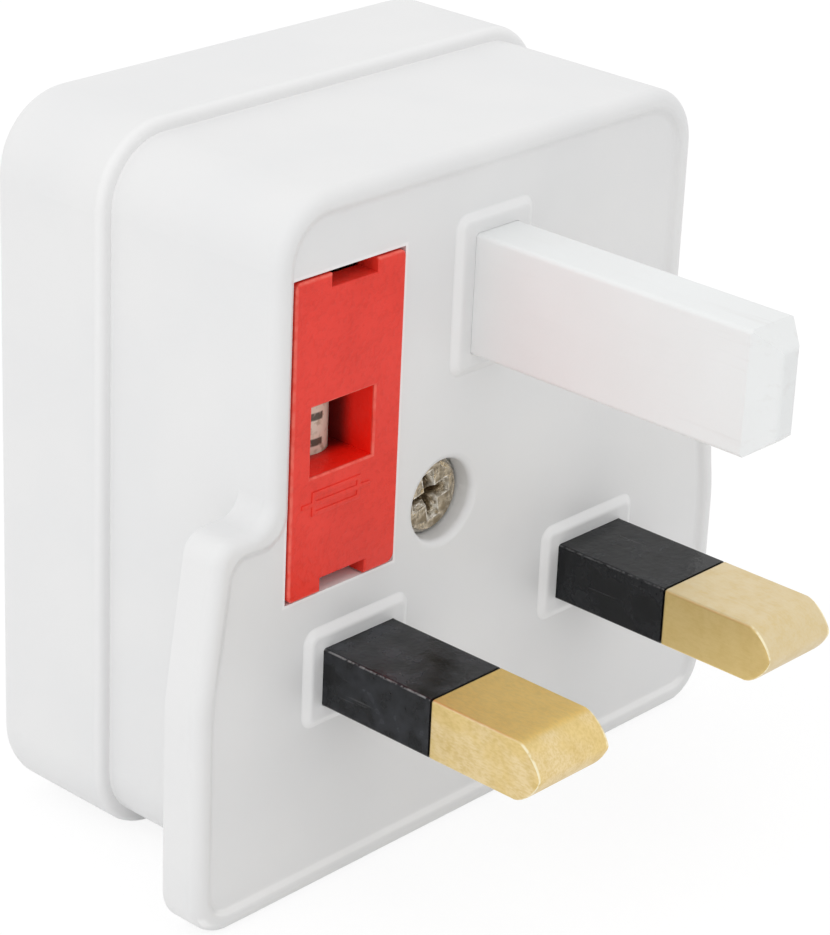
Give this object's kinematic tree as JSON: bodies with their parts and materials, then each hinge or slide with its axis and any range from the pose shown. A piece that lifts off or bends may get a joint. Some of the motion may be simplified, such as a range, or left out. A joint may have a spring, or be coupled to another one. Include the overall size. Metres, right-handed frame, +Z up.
{
  "type": "shaver plug adapter",
  "caption": "Compact wall plug adapter with sleeved brass pins, a plastic earth pin, a pull-out fuse carrier on its face and a shuttered two-pin shaver socket in its rear.",
  "frame": {"origin": "on the rim of the plug face, midway between the two brass pins", "axes": "+X right and +Z up towards the earth pin as the plug face is seen, -Y along the pins out of the face, +Y into the body towards the shaver socket"},
  "size_m": [0.0498, 0.0471, 0.0487],
  "materials": {
    "shell_plastic": "off-white moulded plastic, fine satin gloss",
    "earth_plastic": "slightly warm white moulded plastic",
    "pin_brass": "polished brass with fine drawn lines",
    "sleeve_black": "satin black insulation",
    "screw_nickel": "worn nickel plate",
    "carrier_red": "satin red moulded plastic",
    "fuse_ceramic": "glazed ceramic tube with plain printed bars",
    "fuse_cap_metal": "plated metal",
    "contact_brass": "rolled brass strip",
    "inner_plastic": "plain moulded plastic",
    "spring_steel": "bright spring wire"
  },
  "bodies": {
    "housing": {"plug_housing": "shell_plastic", "socket_housing": "shell_plastic", "earth_pin": "earth_plastic", "live_pin": "pin_brass", "neutral_pin": "pin_brass", "live_pin_sleeve": "sleeve_black", "neutral_pin_sleeve": "sleeve_black", "housing_screw": "screw_nickel", "fuse_clip_lower": "contact_brass", "fuse_clip_upper": "contact_brass", "live_contact": "contact_brass", "neutral_contact": "contact_brass", "contact_tray": "inner_plastic", "shutter_spring": "spring_steel"},
    "carrier": {"fuse_carrier": "carrier_red", "fuse_body": "fuse_ceramic", "fuse_cap_lower": "fuse_cap_metal", "fuse_cap_upper": "fuse_cap_metal", "fuse_wire": "fuse_cap_metal"},
    "shutter": {"shutter": "inner_plastic"}
  },
  "joints": [
    {"name": "carrier_slide", "type": "slide", "parent": "housing", "child": "carrier", "axis": [0, -1, 0], "range_m": [0, 0.0065]},
    {"name": "shutter_slide", "type": "slide", "parent": "housing", "child": "shutter", "axis": [0, 0, -1], "range_m": [0, 0.0064], "stiffness_N_per_m": 150, "springref_m": -0.004, "deforming": ["shutter_spring"]}
  ]
}
